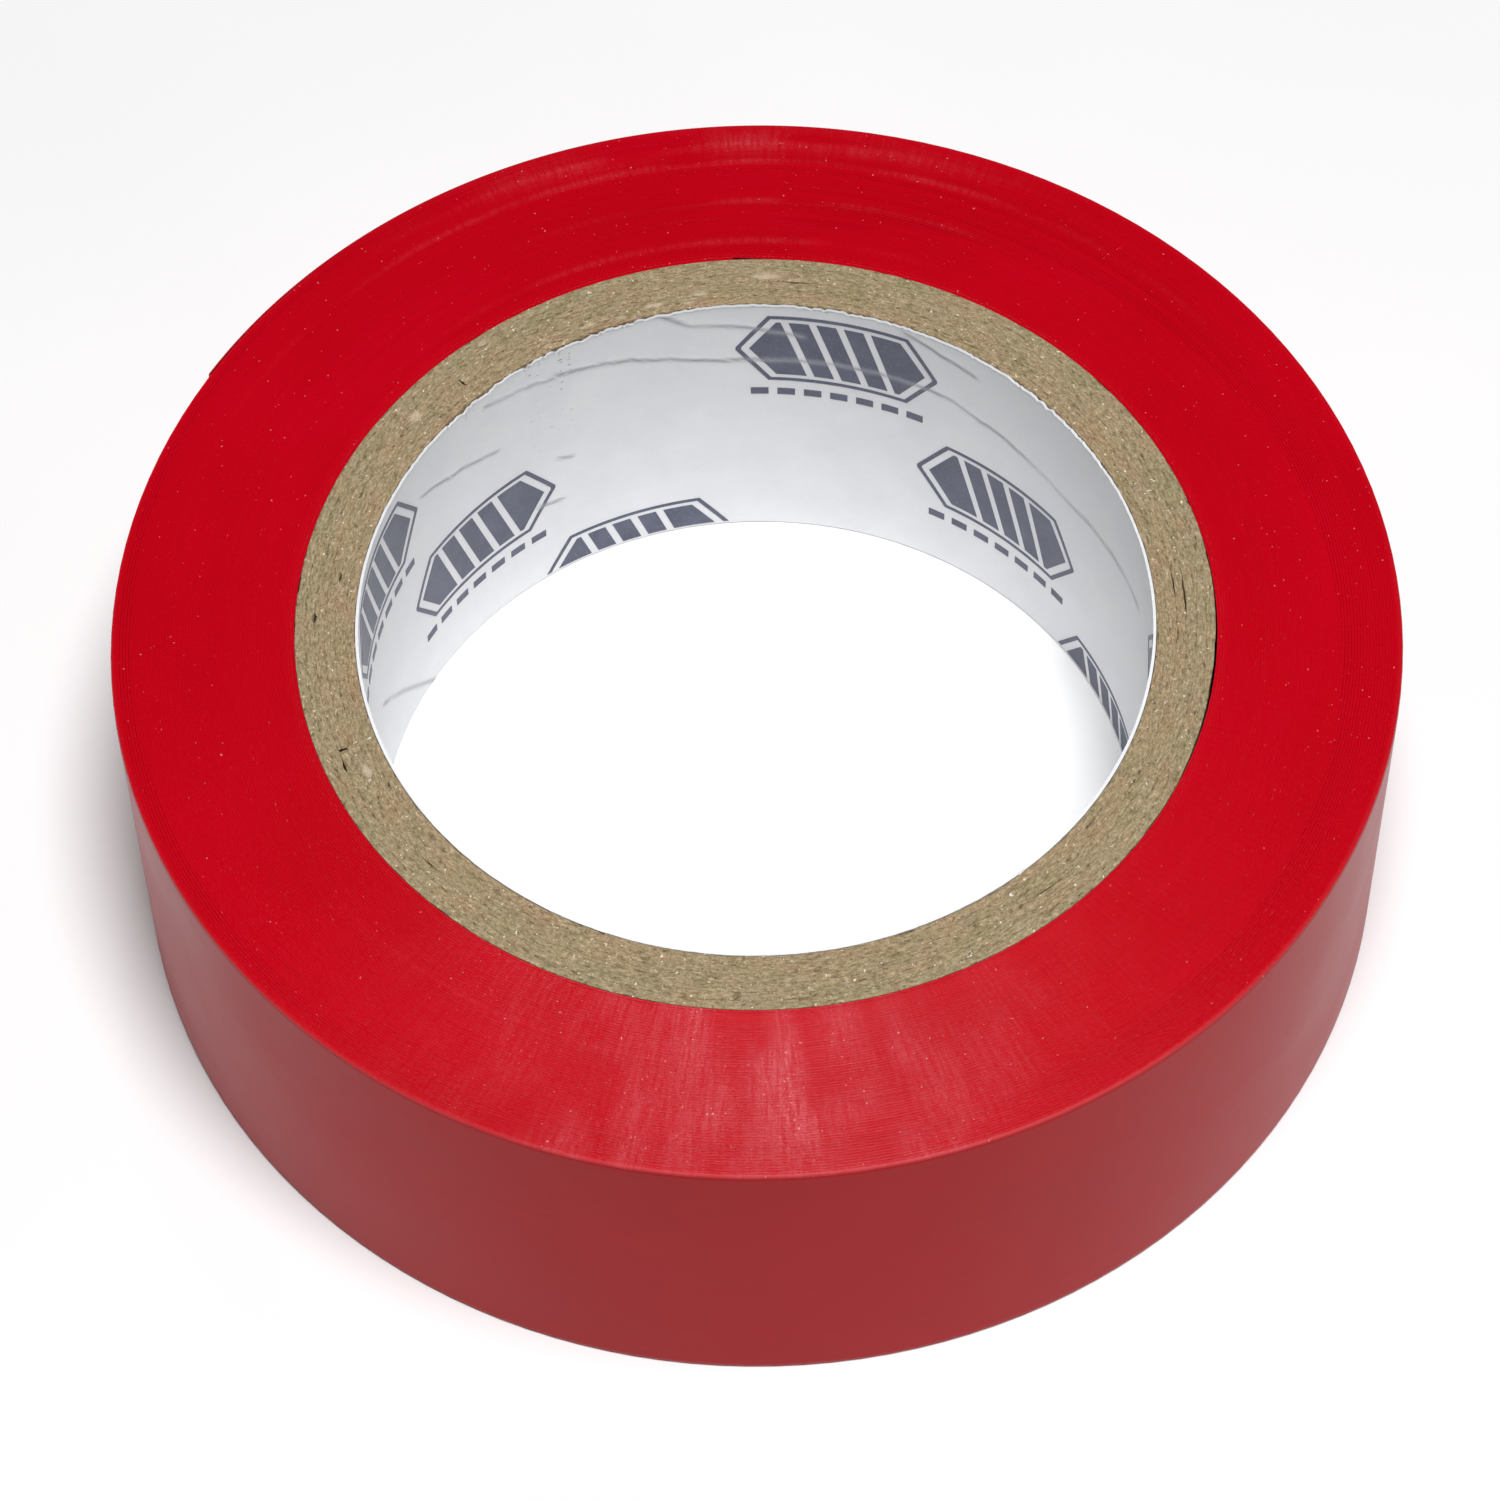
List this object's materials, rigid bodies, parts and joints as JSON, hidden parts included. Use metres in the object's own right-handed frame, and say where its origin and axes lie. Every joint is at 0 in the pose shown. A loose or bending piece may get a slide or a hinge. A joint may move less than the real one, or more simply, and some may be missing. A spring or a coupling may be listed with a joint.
{
  "type": "electrical tape roll",
  "caption": "Roll of plastic electrical tape wound on a spiral paperboard core with a printed paper liner, its free end peeling away from the roll.",
  "frame": {"origin": "on the axis of the bore, in the plane of the lower end face", "axes": "+Z along the axis of the roll, from the lower end face to the upper one; +X 78 degrees before the line where the free end leaves the winding"},
  "size_m": [0.0616, 0.0617, 0.018],
  "materials": {
    "liner_paper": "satin",
    "core_board": "matte",
    "tape_film": "satin"
  },
  "bodies": {
    "roll": {"core_liner": "liner_paper", "core_ply_1": "core_board", "core_ply_2": "core_board", "core_ply_3": "core_board", "core_ply_4": "core_board", "core_ply_5": "core_board", "core_ply_6": "core_board", "tape_winding": "tape_film"},
    "tail_1": {"tape_tail_1": "tape_film"},
    "tail_2": {"tape_tail_2": "tape_film"},
    "tail_3": {"tape_tail_3": "tape_film"},
    "tail_4": {"tape_tail_4": "tape_film"},
    "tail_5": {"tape_tail_5": "tape_film"},
    "tail_6": {"tape_tail_6": "tape_film"},
    "tail_7": {"tape_tail_7": "tape_film"},
    "tail_8": {"tape_tail_8": "tape_film"}
  },
  "joints": [
    {"name": "tail_peel", "type": "hinge", "parent": "roll", "child": "tail_1", "pos_m": [0.00638, 0.0302, 0.009], "axis": [0, 0, -1], "range_deg": [0, 75]},
    {"name": "tail_unbend_2", "type": "hinge", "parent": "tail_1", "child": "tail_2", "pos_m": [0.00158, 0.03083, 0.009], "axis": [0, 0, -1], "range_deg": [0, 7.5]},
    {"name": "tail_unbend_3", "type": "hinge", "parent": "tail_2", "child": "tail_3", "pos_m": [-0.00326, 0.03071, 0.009], "axis": [0, 0, -1], "range_deg": [0, 7.5]},
    {"name": "tail_unbend_4", "type": "hinge", "parent": "tail_3", "child": "tail_4", "pos_m": [-0.00803, 0.02982, 0.009], "axis": [0, 0, -1], "range_deg": [0, 7.5]},
    {"name": "tail_unbend_5", "type": "hinge", "parent": "tail_4", "child": "tail_5", "pos_m": [-0.01259, 0.02821, 0.009], "axis": [0, 0, -1], "range_deg": [0, 7.5]},
    {"name": "tail_unbend_6", "type": "hinge", "parent": "tail_5", "child": "tail_6", "pos_m": [-0.01685, 0.02589, 0.009], "axis": [0, 0, -1], "range_deg": [0, 7.5]},
    {"name": "tail_unbend_7", "type": "hinge", "parent": "tail_6", "child": "tail_7", "pos_m": [-0.02069, 0.02294, 0.009], "axis": [0, 0, -1], "range_deg": [0, 7.5]},
    {"name": "tail_unbend_8", "type": "hinge", "parent": "tail_7", "child": "tail_8", "pos_m": [-0.02403, 0.01943, 0.009], "axis": [0, 0, -1], "range_deg": [0, 7.5]}
  ],
  "couplings": [
    {"joint": "tail_unbend_2", "follows": "tail_peel", "ratio": 0.1},
    {"joint": "tail_unbend_3", "follows": "tail_peel", "ratio": 0.1},
    {"joint": "tail_unbend_4", "follows": "tail_peel", "ratio": 0.1},
    {"joint": "tail_unbend_5", "follows": "tail_peel", "ratio": 0.1},
    {"joint": "tail_unbend_6", "follows": "tail_peel", "ratio": 0.1},
    {"joint": "tail_unbend_7", "follows": "tail_peel", "ratio": 0.1},
    {"joint": "tail_unbend_8", "follows": "tail_peel", "ratio": 0.1}
  ]
}
